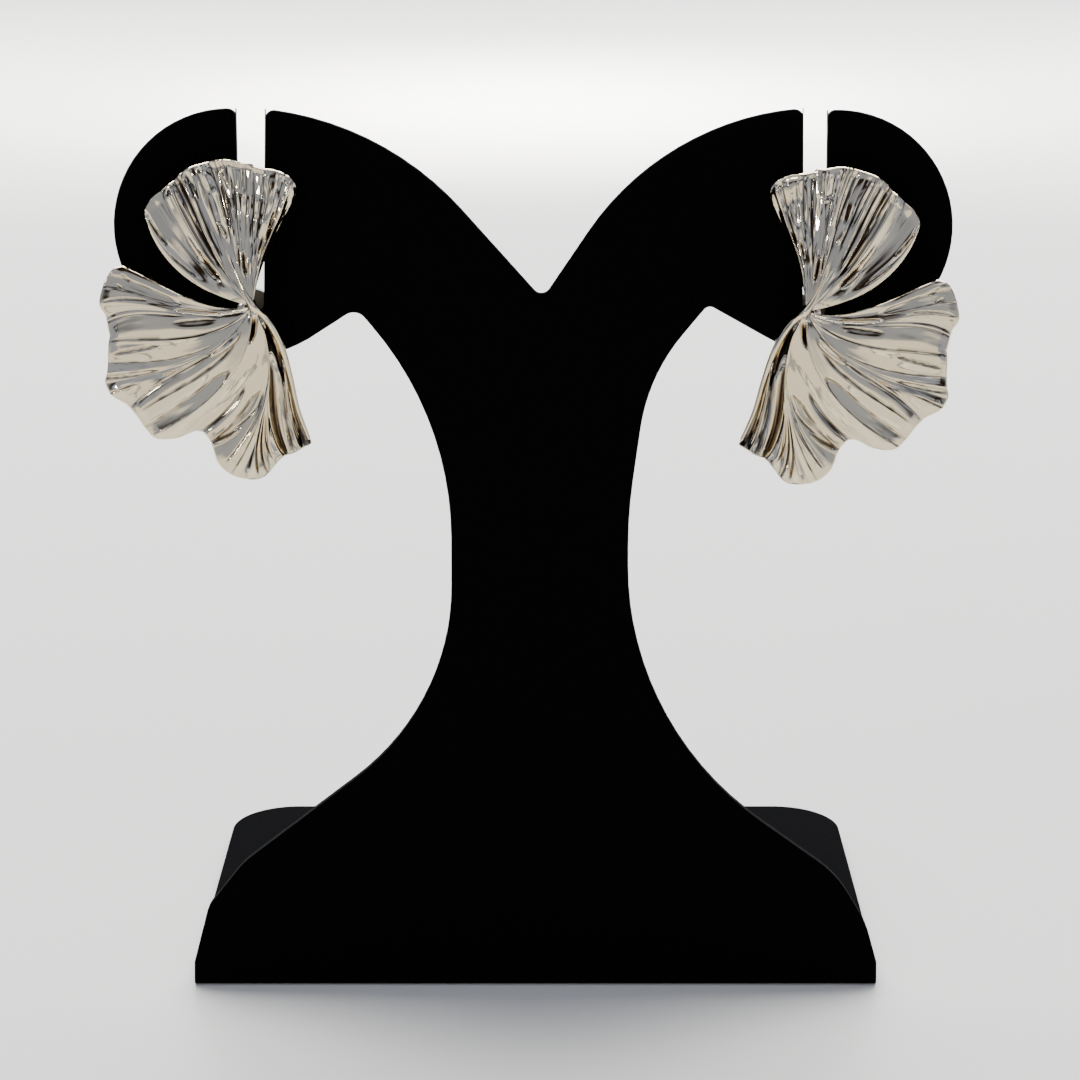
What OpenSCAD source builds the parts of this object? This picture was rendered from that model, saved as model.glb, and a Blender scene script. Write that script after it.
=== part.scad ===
// Pair of folded ginkgo leaf ear studs on a slotted display stand, in millimetres.
// X runs to the right, Y to the back and Z up. The origin is under the middle of the whole object.
// The upright leans back, and "up" on it means up along its slope from the floor line at its front.

/* [Stand] */
// Lean of the upright from the vertical, in degrees
lean = 10; // [0:1:11]
// Thickness of the covered sheet
sheet_t = 2.2; // [1.5:0.1:2.6]
// Outer radius of the fold between the upright and the foot
bend_r = 1; // [0.6:0.1:1.6]
// Depth of the stand on the floor, front to back
foot_depth = 59.8; // [50:0.2:80]
// Half width of the foot at its back edge
foot_half_w = 42.8; // [30:0.1:44]
// Radius of the two back corners of the foot
foot_corner_r = 9; // [1:0.5:20]

/* [Leaf] */
// Wall of the cast leaf, measured square to the upright
leaf_wall = 1.1; // [1:0.05:1.3]
// Scale of the folds' depth, 1 as on the real leaf
fold_depth = 1; // [0.2:0.05:1.2]
// Share of the fold depth that is left at the rim itself
rim_relief = 0.45; // [0:0.05:1]
// Turn of the right leaf about its post, in degrees, clockwise seen from the front
right_turn = 3.7; // [0:0.1:8]

/* [Post and nut] */
// Radius of the ear post
post_r = 0.4; // [0.35:0.05:0.45]
// Length of the post's free end behind its nut
post_free = 3.5; // [2:0.1:5]
// Radius of the ear nut
nut_r = 2.6; // [2.2:0.1:4]
// Thickness of the ear nut
nut_t = 2.4; // [1.5:0.1:3.5]

/* [Hidden] */

// Gap between pieces that rest on or hold each other
fit_gap = 0.1;
// The middle of the whole object lies at this x on the stand's own drawing, and halfway between
// the front of the fold and the back of the foot
middle_x = -0.7;
fold_front_y = bend_r * (tan((90 + lean) / 2) - 1);
middle_y = (fold_front_y + foot_depth) / 2;

// Heights in front of the upright's face: the nut's two faces and the post's end, all behind the sheet
nut_front_h = -sheet_t - fit_gap;
nut_back_h = nut_front_h - nut_t;
post_end_h = nut_back_h - post_free;
nut_bore_gap = 0.05;

// Radius inside the fold
inner_bend_r = 0.4;
bend_steps = 20;
// Behind this line on the floor, clear of the upright, the foot follows its own outline
foot_line = sheet_t + 1.2;
// The two outlines' cuts reach this far past each other
cut_overlap = 0.2;
// Half width of the stand's front edge
front_half_w = 44.3;
// The sheet is drawn wider and longer than the stand by this, and then cut to its outlines
spare = 4;

velvet_colour = "#101012";
metal_colour = "#D6CBB4";

// One row for each side. Columns: x of the post, its distance up the slope, x of the slot, its width
// at the bottom and at the mouth, how far up the slope the mouth's left and right corners are,
// the leaf's turn, and its side. The mirrored leaf on the right has side = -1.
POST_X = 0;
POST_UP = 1;
SLOT_X = 2;
SLOT_W = 3;
MOUTH_W = 4;
MOUTH_LEFT_UP = 5;
MOUTH_RIGHT_UP = 6;
TURN = 7;
SIDE = 8;
left_place = [-36.15, 87.9, -36.1, 3.1, 3.75, 113.46, 113.27, 0, 1];
right_place = [34.6, 87.2, 35.5, 2.95, 3.1, 113.4, 113.3, -right_turn, -1];

// From the post to the knot, where the leaf's two lobes meet, and to the boss that ties them together
knot_from_post = [0.57, 0.9];
boss_from_post = [-0.2, 0.6];
boss_r = 1.2;
boss_back_h = 1.8;
boss_face_h = 5.1;

// Corners of the upright's outline, from the left foot over the top to the right foot.
// The lobes are circles and the slots are cut, so neither has corners here.
// Columns: x, distance up the slope, corner radius.
upright_corners = [
    [-front_half_w, -2 * spare, 0],
    [-front_half_w, 3.2, 2],
    [-42.4, 10.6, 3],
    [-37.8, 16.4, 12],
    [-10.8, 36.9, 31.5],
    [-10.8, 74.1, 42],
    [-22.8, 88.2, 1.8],
    [-29.2, 84.1, 0],
    [-33, 97, 0],
    [-36.5, 113.7, 0.8],
    [-19.1, 111.5, 39],
    [0.9, 89.3, 1.2],
    [16.25, 111.9, 36],
    [36, 113.7, 0.8],
    [33, 97, 0],
    [29.4, 84.5, 0],
    [22, 88.65, 1],
    [14.4, 79.6, 24],
    [11.9, 62, 60],
    [11.9, 34.1, 41],
    [39, 14.8, 14],
    [42.9, 8.3, 10],
    [front_half_w, 3.2, 2],
    [front_half_w, -2 * spare, 0],
];

// The two lobes that carry the leaves, each from an upper and a lower circle.
// Columns: x, distance up the slope, radius.
lobes = [
    [-38.8, 98.75, 14.75],
    [-36.9, 97.3, 15.25],
    [38.3, 98.6, 14.7],
    [37, 97.5, 15.05],
];

// Furthest that the upright reaches to a side, and up its slope
sheet_half_w = max([for (row = lobes) abs(row.x) + row[2]]);
sheet_top_up = max([for (row = lobes) row.y + row[2]]);

// The slots open at the top between corners rounded by this radius
mouth_corner_r = 1.1;

// Folds of the upper lobe, from its right edge round to its left edge, one row for each crease.
// Columns: angle at the rim, reach from the knot to the rim, angle halfway out,
// rise of the crease at the rim, and the share of the way out at which it starts.
ANGLE = 0;
REACH = 1;
HALFWAY = 2;
RISE = 3;
START = 4;
upper_folds = [
    [68.9, 14.9, 74.6, -0.25, 0.1],
    [70.5, 16, 75.5, 0.05, 0.2],
    [72.5, 16.5, 76.6, 0.3, 0.3],
    [75.7, 16.9, 78.4, 0, 0.5],
    [78.8, 17.1, 80.4, 0.3, 0.4],
    [81.2, 17.2, 82.5, 0.15, 0.35],
    [83.5, 17.2, 84.5, 0.25, 0.3],
    [85.5, 17.2, 87, 0, 0.2],
    [87.6, 17.3, 88.8, 0.2, 0.3],
    [90, 17.5, 91.5, -0.1, 0.3],
    [91.6, 17.9, 94, 0.15, 0.4],
    [93.5, 17.9, 96, 0.1, 0.5],
    [95.1, 18, 98.2, 0.25, 0.4],
    [99.3, 18.5, 101.4, 0, 0.3],
    [101.6, 18.7, 103.2, 0.3, 0.35],
    [104.5, 18.8, 105.5, 0.1, 0.5],
    [107.8, 18.9, 107.8, -0.15, 0.2],
    [110.9, 19, 112.6, 0.2, 0.3],
    [113.6, 19.1, 115.1, 0.05, 0.3],
    [115.2, 19.1, 118.2, 0.3, 0.25],
    [117.6, 19, 121.8, -0.1, 0.25],
    [119.8, 18.9, 124.4, 0.3, 0.2],
    [122.6, 18.6, 127.2, -0.1, 0.2],
    [124.8, 18.6, 132, 0.65, 0.15],
    [129.1, 18.5, 137, 0.05, 0.2],
    [133.5, 18.6, 142, -0.25, 0.2],
    [138, 18.3, 149, -0.05, 0.2],
    [140.2, 17.8, 154, 0.35, 0.2],
    [141.5, 17.3, 158, 0.1, 0.1],
];

// Folds of the lower lobe, from its top edge down and round to its right edge.
lower_folds = [
    [163, 17.1, 172.4, 0.1, 0.1],
    [164.9, 18.1, 174.4, 0.15, 0.3],
    [168, 18.6, 176.6, 0.1, 0.45],
    [174, 19.1, 179.4, 0.15, 0.5],
    [179, 19.3, 182.4, 0.15, 0.3],
    [184.5, 18.5, 185.4, 0.05, 0.3],
    [191.6, 18.4, 197, 0.22, 0.25],
    [194, 18.7, 204, 0.2, 0.3],
    [198.4, 19.2, 210, 0.15, 0.5],
    [201.3, 19.6, 216, 0, 0.3],
    [204.5, 20.2, 219.4, 0.25, 0.55],
    [207.6, 21, 220.6, 0.1, 0.6],
    [211, 21.1, 221.8, 0.35, 0.6],
    [219, 20.1, 223.4, 0.2, 0.3],
    [222.8, 20.1, 231, 0.45, 0.3],
    [227, 20.4, 245.5, 0.3, 0.42],
    [232.3, 20.7, 248, 0.4, 0.44],
    [239.4, 19.3, 253.5, 0.15, 0.5],
    [246.2, 17.1, 266, 0.15, 0.56],
    [247.8, 17, 268.5, 0, 0.58],
    [249.6, 17.2, 271, 0.2, 0.56],
    [253.3, 18.1, 279, 0.1, 0.52],
    [255.4, 19.3, 279.6, 0.15, 0.58],
    [257.6, 20.3, 279.9, 0.2, 0.66],
    [262.6, 21.4, 280.2, 0.3, 0.66],
    [265.6, 21.7, 280.4, 0, 0.66],
    [268.4, 21.8, 280.6, 0.45, 0.62],
    [271, 21.8, 280.8, 0, 0.62],
    [273.6, 21.5, 281, 0.45, 0.6],
    [276, 20.8, 281.2, 0, 0.58],
    [278, 20.1, 281.4, 0.45, 0.55],
    [281.4, 19.4, 282.4, 0.4, 0.25],
    [282.4, 19.3, 284.6, -0.9, 0.2],
    [283.4, 19.3, 287.2, 0.4, 0.2],
    [285.2, 19.3, 291.4, -0.05, 0.4],
    [287.2, 19.2, 293.6, 0.45, 0.4],
    [289.6, 19.1, 295.6, -0.1, 0.4],
    [292, 19, 297.4, 0.3, 0.1],
];

// How far each crease swings on between halfway and the knot
upper_swing = 10;
lower_swing = 24;

// Smooth form that the folds stand on: by rim angle, its heights in front of the upright at these
// shares of the way out
form_shares = [0, 0.2, 0.5, 1];
knot_peak_h = 6.3;
// Columns: angle at the rim, height at the knot, height near it, height halfway, height at the rim
upper_form = [
    [68.9, 6, 5.3, 3.8, 2.1],
    [80, 6, 5.4, 4.2, 2.4],
    [100, 6, 5.4, 4.2, 2.4],
    [120, 6, 5.4, 4.2, 2.5],
    [126, 6, 5.3, 4.1, 2.7],
    [141.5, 5.9, 5.2, 4.5, 3.2],
];
lower_form = [
    [163, 5.8, 5.7, 6.1, 5.4],
    [172, 5.9, 5.9, 6.3, 5.6],
    [190, 6.1, 6.4, 6.7, 5.9],
    [212, 6.5, 6.9, 7, 6.3],
    [235, 7, 7.1, 7.2, 6.6],
    [262, 7.1, 7.2, 7.2, 6.7],
    [277, 7, 6.9, 6.8, 6.3],
    [283, 6.6, 6.3, 5.8, 5],
    [292, 5.8, 5, 3.6, 2.6],
];

// Shares of the way from the knot to the rim at which the leaf is worked out
first_share = 0.06;
shares = [first_share, 0.12, 0.2, 0.27, 0.34, 0.42, 0.5, 0.58, 0.66, 0.74, 0.82, 0.88, 0.93, 1];
// A fold grows to its full rise over this share of the way
fold_run = 0.35;
// Past this share of the way the fold sinks again towards the rim
border_share = 0.93;

// Steps for each quarter turn of a rounded corner
corner_steps = 24;

function blend(a, b, f) = a + (b - a) * f;
function clamp01(v) = max(0, min(1, v));
function soft_step(v) = let (c = clamp01(v)) c * c * (3 - 2 * c);
// Curve through a at the start, b halfway and c at the end
function through(a, b, c, u) = a * 2 * (u - 0.5) * (u - 1) + b * 4 * u * (1 - u) + c * u * (2 * u - 1);

// Smooth curve through points (xs, ys) that swings past none of them
function curve_slope(xs, ys, i) =
    let (
        last = len(xs) - 1,
        h0 = i > 0 ? xs[i] - xs[i - 1] : 0,
        h1 = i < last ? xs[i + 1] - xs[i] : 0,
        d0 = i > 0 ? (ys[i] - ys[i - 1]) / h0 : 0,
        d1 = i < last ? (ys[i + 1] - ys[i]) / h1 : 0
    )
    i == 0 ? d1
    : i == last ? d0
    : d0 * d1 <= 0 ? 0
    : 3 * (h0 + h1) / ((2 * h1 + h0) / d0 + (h1 + 2 * h0) / d1);
function curve_at(xs, ys, x, i = 0) =
    i < len(xs) - 2 && x > xs[i + 1] ? curve_at(xs, ys, x, i + 1)
    : let (
        h = xs[i + 1] - xs[i],
        f = clamp01((x - xs[i]) / h)
    )
    ys[i] * (1 + 2 * f) * (1 - f) * (1 - f) + ys[i + 1] * f * f * (3 - 2 * f)
    + h * curve_slope(xs, ys, i) * f * (1 - f) * (1 - f) - h * curve_slope(xs, ys, i + 1) * f * f * (1 - f);

// Heights of the smooth form at each of its shares, for the row at an angle
function form_row(form, angle) =
    let (angles = [for (row = form) row[ANGLE]])
    [for (column = [1:len(form_shares)]) curve_at(angles, [for (row = form) row[column]], angle)];

// Height of a fold's crease over the smooth form, at share u of the way out
function fold_height(fold, u) =
    fold_depth * fold[RISE] * soft_step((u - fold[START]) / fold_run)
    * blend(1, rim_relief, soft_step((u - border_share) / (1 - border_share)));

// Place on the upright of a point given from the post, on a left leaf that isn't turned
function placed(offset, place) =
    let (x = offset.x * place[SIDE], y = offset.y)
    [place[POST_X] + x * cos(place[TURN]) - y * sin(place[TURN]),
     place[POST_UP] + x * sin(place[TURN]) + y * cos(place[TURN])];

// Points of the leaf's face along one fold, from the knot to the rim: x, minus the height
// in front of the upright, and the distance up the slope
function fold_points(fold, form, swing, place) =
    let (heights = form_row(form, fold[ANGLE]))
    [for (u = shares) let (
            angle = through(fold[HALFWAY] + swing, fold[HALFWAY], fold[ANGLE], u),
            spot = placed(knot_from_post + fold[REACH] * u * [cos(angle), sin(angle)], place)
        )
        [spot.x, -curve_at(form_shares, heights, u) - fold_height(fold, u), spot.y]];

// The leaf is one closed wall: its face, and the same grid moved back by the wall. Each lobe is a grid
// of rows from the knot to the rim, and both lobes' inner ends meet round the knot's peak.
module leaf_shell(place) {
    cols = len(shares);
    upper_rows = len(upper_folds);
    lower_rows = len(lower_folds);
    upper = [for (fold = upper_folds) each fold_points(fold, upper_form, upper_swing, place)];
    lower = [for (fold = lower_folds) each fold_points(fold, lower_form, lower_swing, place)];
    peak_spot = placed(knot_from_post, place);
    face = concat(upper, lower, [[peak_spot.x, -knot_peak_h, peak_spot.y]]);
    back = [for (p = face) p + [0, leaf_wall, 0]];
    count = len(face);
    peak = count - 1;
    function up(i, j) = i * cols + j;
    function low(i, j) = (upper_rows + i) * cols + j;
    upper_tris = [for (i = [0:upper_rows - 2]) for (j = [0:cols - 2])
        each square_tris(up(i, j), up(i + 1, j), up(i + 1, j + 1), up(i, j + 1))];
    lower_tris = [for (i = [0:lower_rows - 2]) for (j = [0:cols - 2])
        each square_tris(low(i, j), low(i + 1, j), low(i + 1, j + 1), low(i, j + 1))];
    ring = concat([for (i = [0:upper_rows - 1]) up(i, 0)], [for (i = [0:lower_rows - 1]) low(i, 0)]);
    peak_tris = [for (k = [0:len(ring) - 1]) [peak, ring[(k + 1) % len(ring)], ring[k]]];
    face_tris = concat(upper_tris, lower_tris, peak_tris);
    back_tris = [for (t = face_tris) [t[2] + count, t[1] + count, t[0] + count]];
    edge = concat(
        [for (j = [0:cols - 1]) up(0, j)],
        [for (i = [1:upper_rows - 1]) up(i, cols - 1)],
        [for (j = [cols - 2:-1:0]) up(upper_rows - 1, j)],
        [for (j = [0:cols - 1]) low(0, j)],
        [for (i = [1:lower_rows - 1]) low(i, cols - 1)],
        [for (j = [cols - 2:-1:0]) low(lower_rows - 1, j)]
    );
    edge_tris = [for (k = [0:len(edge) - 1]) let (a = edge[k], b = edge[(k + 1) % len(edge)])
        each square_tris(a, b, b + count, a + count)];
    tris = concat(face_tris, back_tris, edge_tris);
    polyhedron(
        points = concat(face, back),
        faces = place[SIDE] > 0 ? tris : [for (t = tris) [t[2], t[1], t[0]]],
        convexity = 10
    );
}
function square_tris(a, b, c, d) = [[a, b, c], [a, c, d]];

// Turns the upright's own frame, in which -Y points out of its face and Z runs up it, into the object's
module on_upright() {
    translate([-middle_x, -middle_y, 0]) rotate([-lean, 0, 0]) children();
}

// A round bar along the upright's own depth: its foot and its end are heights in front of the face
module bar(spot, r, from_h, to_h) {
    translate([spot.x, -from_h, spot.y]) rotate([90, 0, 0]) cylinder(r = r, h = to_h - from_h, $fn = 32);
}

module leaf(place) {
    boss_spot = placed(boss_from_post, place);
    post_spot = placed([0, 0], place);
    on_upright() {
        leaf_shell(place);
        bar(boss_spot, boss_r, boss_back_h, boss_face_h);
        bar(post_spot, post_r, post_end_h, boss_back_h + 1);
    }
}

module ear_nut(place) {
    spot = placed([0, 0], place);
    on_upright() difference() {
        bar(spot, nut_r, nut_back_h, nut_front_h);
        bar(spot, post_r + nut_bore_gap, nut_back_h - 1, nut_front_h + 1);
    }
}

// A corner's arc, seen as points, between the lines to its neighbours
function corner_arc(before, corner, after, r) =
    let (
        p = [corner.x, corner.y],
        to_before = unit([before.x, before.y] - p),
        to_after = unit([after.x, after.y] - p),
        half = acos(max(-1, min(1, to_before * to_after))) / 2,
        run = r / tan(half),
        centre = p + unit(to_before + to_after) * r / sin(half),
        start = p + to_before * run - centre,
        finish = p + to_after * run - centre,
        first = atan2(start.y, start.x),
        sweep = atan2(start.x * finish.y - start.y * finish.x, start * finish),
        steps = max(2, ceil(abs(sweep) / 90 * corner_steps))
    )
    r == 0 ? [p] : [for (k = [0:steps]) centre + r * [cos(first + sweep * k / steps), sin(first + sweep * k / steps)]];
function unit(v) = v / norm(v);

// A closed outline with rounded corners, from rows of x, y and radius
function rounded(corners) =
    let (n = len(corners))
    [for (i = [0:n - 1]) each corner_arc(corners[(i + n - 1) % n], corners[i], corners[(i + 1) % n], corners[i][2])];

// Points round the fold at a radius, from the floor up. The arc is tangent to the foot and the upright,
// and its middle is where a fold of the centre's own radius would have it.
function fold_arc(centre_r, r) =
    let (
        centre = centre_r * [tan((90 + lean) / 2), 1],
        turn = (90 + lean) / bend_steps
    )
    [for (k = [0:bend_steps]) centre + r * [cos(270 - k * turn), sin(270 - k * turn)]];
function reversed(list) = [for (k = [len(list) - 1:-1:0]) list[k]];

// Side view of the folded sheet, front to back and up: foot, outside of the fold, upright, inside of it
function sheet_profile() =
    let (
        up = [sin(lean), cos(lean)],
        out = [-cos(lean), sin(lean)],
        top = up * (sheet_top_up + spare)
    )
    concat(
        [[foot_depth + spare, 0]],
        fold_arc(bend_r, bend_r),
        [top, top - sheet_t * out],
        reversed(fold_arc(sheet_t + inner_bend_r, inner_bend_r)),
        [[foot_depth + spare, sheet_t]]
    );

module bent_sheet() {
    half_w = sheet_half_w + spare;
    translate([-half_w, 0, 0]) rotate([90, 0, 90]) linear_extrude(2 * half_w) polygon(sheet_profile());
}

// What is cut away to round the corner between a slot's wall and the top of its lobe
module mouth_corner(side) {
    size = mouth_corner_r;
    difference() {
        translate([side > 0 ? 0 : -size, -size]) square([size, 2 * size]);
        translate([side * size, -size]) circle(r = size, $fn = 32);
    }
}

module slot(place) {
    r = place[SLOT_W] / 2;
    mouth_r = place[MOUTH_W] / 2;
    side_shift = place[POST_X] - place[SLOT_X];
    bottom_up = place[POST_UP] + sqrt(pow(r - post_r - fit_gap, 2) - side_shift * side_shift);
    over_up = max(place[MOUTH_LEFT_UP], place[MOUTH_RIGHT_UP]) + mouth_corner_r;
    translate([place[SLOT_X], bottom_up]) circle(r = r, $fn = 32);
    translate([place[SLOT_X], 0]) {
        polygon([[-r, bottom_up], [r, bottom_up], [mouth_r, over_up], [-mouth_r, over_up]]);
        translate([-mouth_r, place[MOUTH_LEFT_UP]]) mouth_corner(-1);
        translate([mouth_r, place[MOUTH_RIGHT_UP]]) mouth_corner(1);
    }
}

module upright_outline() {
    difference() {
        union() {
            polygon(rounded(upright_corners));
            for (row = lobes) translate([row.x, row.y]) circle(r = row[2], $fn = 96);
        }
        slot(left_place);
        slot(right_place);
    }
}

// The foot narrows from its own front line to its rounded back corners
module foot_outline() {
    narrowing = (front_half_w - foot_half_w) / (foot_depth - foot_line);
    wide_half_w = front_half_w + narrowing * (foot_line + spare);
    polygon(rounded([
        [-wide_half_w, -spare, 0],
        [wide_half_w, -spare, 0],
        [foot_half_w, foot_depth, foot_corner_r],
        [-foot_half_w, foot_depth, foot_corner_r],
    ]));
}

// All round the upright's outline, from in front of its face to just past the foot's own line
module cut_round_upright() {
    front_h = spare;
    back_h = -foot_line - cut_overlap;
    half_w = sheet_half_w + 2 * spare;
    rotate([90, 0, 0]) translate([0, 0, back_h]) linear_extrude(front_h - back_h) difference() {
        translate([-half_w, -spare]) square([2 * half_w, sheet_top_up + 3 * spare]);
        upright_outline();
    }
}

// All round the foot's outline, from under the floor to just over the sheet
module cut_round_foot() {
    half_w = sheet_half_w + 2 * spare;
    translate([0, 0, -1]) linear_extrude(sheet_t + 2) difference() {
        translate([-half_w, foot_line - cut_overlap]) square([2 * half_w, foot_depth + 2 * spare]);
        foot_outline();
    }
}

module display_stand() {
    color(velvet_colour) translate([-middle_x, -middle_y, 0]) difference() {
        bent_sheet();
        rotate([-lean, 0, 0]) cut_round_upright();
        cut_round_foot();
    }
}

module left_leaf() {
    color(metal_colour) leaf(left_place);
}

module right_leaf() {
    color(metal_colour) leaf(right_place);
}

module left_ear_nut() {
    color(metal_colour) ear_nut(left_place);
}

module right_ear_nut() {
    color(metal_colour) ear_nut(right_place);
}

display_stand();
left_leaf();
right_leaf();
left_ear_nut();
right_ear_nut();
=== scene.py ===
"""A pair of folded ginkgo leaf ear studs on a slotted velvet stand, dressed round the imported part.

Sizes in the tables are in millimetres and angles in degrees. Every piece is made in the part's own
frame: X to the right, Y to the back, Z up. On the upright, a point has an x, a distance up the slope
and a height in front of the upright's face.
"""
import math

import bpy
import numpy as np
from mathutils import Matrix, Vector


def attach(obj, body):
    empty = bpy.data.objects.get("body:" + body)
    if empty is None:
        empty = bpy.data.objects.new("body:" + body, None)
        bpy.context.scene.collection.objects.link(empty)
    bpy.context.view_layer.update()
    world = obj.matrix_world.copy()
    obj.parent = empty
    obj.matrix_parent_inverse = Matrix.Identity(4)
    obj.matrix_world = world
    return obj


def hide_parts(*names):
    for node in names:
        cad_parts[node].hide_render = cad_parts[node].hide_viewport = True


bl_info = {
    "name": "Ginkgo leaf ear studs",
    "version": (1, 0, 0),
    "blender": (4, 5, 0),
    "location": "3D View > Sidebar > Leaf Studs",
    "description": "Cast leaf ear studs, their ear nuts, a velvet stand and a pale studio",
    "category": "Add Mesh",
}

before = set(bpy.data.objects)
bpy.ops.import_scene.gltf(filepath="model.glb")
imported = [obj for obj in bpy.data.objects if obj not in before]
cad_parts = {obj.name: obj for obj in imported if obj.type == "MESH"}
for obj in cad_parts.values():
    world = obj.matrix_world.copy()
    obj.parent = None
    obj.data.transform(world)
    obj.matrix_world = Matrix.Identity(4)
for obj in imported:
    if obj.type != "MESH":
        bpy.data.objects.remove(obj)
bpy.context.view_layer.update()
MM = 0.001

# The upright leans back from its line on the floor, and the part's origin lies at MIDDLE from there
LEAN = math.radians(10)
MIDDLE = np.array([-0.7, 29.996, 0.0])

# Rows: left and right leaf. Columns: x of the post, its distance up the slope, turn, and 1 or, for the
# mirror image, -1
PLACES = {
    "left": (-36.15, 87.9, 0.0, 1),
    "right": (34.6, 87.2, -3.7, -1),
}
# Each leaf has its own small unevenness
SEEDS = {"left": 11, "right": 12}
# Offsets of the knot and of the boss behind it, in x and up the slope
KNOT_FROM_POST = (0.57, 0.9)
BOSS_FROM_POST = (-0.2, 0.6)

# Columns: angle at the rim, reach from the knot to the rim, angle halfway out,
# rise of the crease at the rim, share of the way out at which it starts
UPPER_FOLDS = np.array([
    (68.9, 14.9, 74.6, -0.25, 0.10), (70.5, 16.0, 75.5, 0.05, 0.20), (72.5, 16.5, 76.6, 0.30, 0.30),
    (75.7, 16.9, 78.4, 0.00, 0.50), (78.8, 17.1, 80.4, 0.30, 0.40), (81.2, 17.2, 82.5, 0.15, 0.35),
    (83.5, 17.2, 84.5, 0.25, 0.30), (85.5, 17.2, 87.0, 0.00, 0.20), (87.6, 17.3, 88.8, 0.20, 0.30),
    (90.0, 17.5, 91.5, -0.10, 0.30), (91.6, 17.9, 94.0, 0.15, 0.40), (93.5, 17.9, 96.0, 0.10, 0.50),
    (95.1, 18.0, 98.2, 0.25, 0.40), (99.3, 18.5, 101.4, 0.00, 0.30), (101.6, 18.7, 103.2, 0.30, 0.35),
    (104.5, 18.8, 105.5, 0.10, 0.50), (107.8, 18.9, 107.8, -0.15, 0.20), (110.9, 19.0, 112.6, 0.20, 0.30),
    (113.6, 19.1, 115.1, 0.05, 0.30), (115.2, 19.1, 118.2, 0.30, 0.25), (117.6, 19.0, 121.8, -0.10, 0.25),
    (119.8, 18.9, 124.4, 0.30, 0.20), (122.6, 18.6, 127.2, -0.10, 0.20), (124.8, 18.6, 132.0, 0.65, 0.15),
    (129.1, 18.5, 137.0, 0.05, 0.20), (133.5, 18.6, 142.0, -0.25, 0.20), (138.0, 18.3, 149.0, -0.05, 0.20),
    (140.2, 17.8, 154.0, 0.35, 0.20), (141.5, 17.3, 158.0, 0.10, 0.10),
])
LOWER_FOLDS = np.array([
    (163.0, 17.1, 172.4, 0.10, 0.10), (164.9, 18.1, 174.4, 0.15, 0.30), (168.0, 18.6, 176.6, 0.10, 0.45),
    (174.0, 19.1, 179.4, 0.15, 0.50), (179.0, 19.3, 182.4, 0.15, 0.30), (184.5, 18.5, 185.4, 0.05, 0.30),
    (191.6, 18.4, 197.0, 0.22, 0.25), (194.0, 18.7, 204.0, 0.20, 0.30), (198.4, 19.2, 210.0, 0.15, 0.50),
    (201.3, 19.6, 216.0, 0.00, 0.30), (204.5, 20.2, 219.4, 0.25, 0.55), (207.6, 21.0, 220.6, 0.10, 0.60),
    (211.0, 21.1, 221.8, 0.35, 0.60), (219.0, 20.1, 223.4, 0.20, 0.30), (222.8, 20.1, 231.0, 0.45, 0.30),
    (227.0, 20.4, 240.8, 0.30, 0.42), (232.3, 20.7, 249.0, 0.40, 0.44), (239.4, 19.3, 253.5, 0.15, 0.50),
    (246.2, 17.1, 266.0, 0.15, 0.56), (247.8, 17.0, 268.5, 0.00, 0.58), (249.6, 17.2, 271.0, 0.20, 0.56),
    (253.3, 18.1, 279.0, 0.10, 0.52), (255.4, 19.3, 279.6, 0.15, 0.58), (257.6, 20.3, 279.9, 0.20, 0.66),
    (262.6, 21.4, 280.2, 0.30, 0.66), (265.6, 21.7, 280.4, 0.00, 0.66), (268.4, 21.8, 280.6, 0.45, 0.62),
    (271.0, 21.8, 280.8, 0.00, 0.62), (273.6, 21.5, 281.0, 0.45, 0.60), (276.0, 20.8, 281.2, 0.00, 0.58),
    (278.0, 20.1, 281.4, 0.45, 0.55), (281.4, 19.4, 282.4, 0.40, 0.25), (282.4, 19.3, 284.6, -0.90, 0.20),
    (283.4, 19.3, 287.2, 0.40, 0.20), (285.2, 19.3, 291.4, -0.05, 0.40), (287.2, 19.2, 293.6, 0.45, 0.40),
    (289.6, 19.1, 295.6, -0.10, 0.40), (292.0, 19.0, 297.4, 0.30, 0.10),
])

# Smooth form under the folds. Columns: angle at the rim, heights at these four shares of the way out, share
# of the wrinkles and waves
FORM_SHARES = np.array([0.0, 0.2, 0.5, 1.0])
UPPER_FORM = np.array([
    (68.9, 6.0, 5.3, 3.8, 2.1, 1.4), (80, 6.0, 5.4, 4.2, 2.4, 1.4), (100, 6.0, 5.4, 4.2, 2.4, 0.9),
    (120, 6.0, 5.4, 4.2, 2.5, 0.8), (126, 6.0, 5.3, 4.1, 2.7, 0.3), (141.5, 5.9, 5.2, 4.5, 3.2, 0.2),
])
LOWER_FORM = np.array([
    (163, 5.8, 5.7, 6.1, 5.4, 0.3), (172, 5.9, 5.9, 6.3, 5.6, 0.3), (190, 6.1, 6.4, 6.7, 5.9, 0.3),
    (212, 6.5, 6.9, 7.0, 6.3, 0.3), (235, 7.0, 7.1, 7.2, 6.6, 0.3), (256, 7.1, 7.2, 6.95, 7.0, 0.3),
    (262, 7.1, 7.2, 7.1, 6.8, 0.5), (277, 7.0, 6.9, 6.8, 6.3, 0.7), (283, 6.6, 6.3, 5.8, 5.0, 0.8),
    (292, 5.8, 5.0, 3.6, 2.6, 0.8),
])

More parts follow.
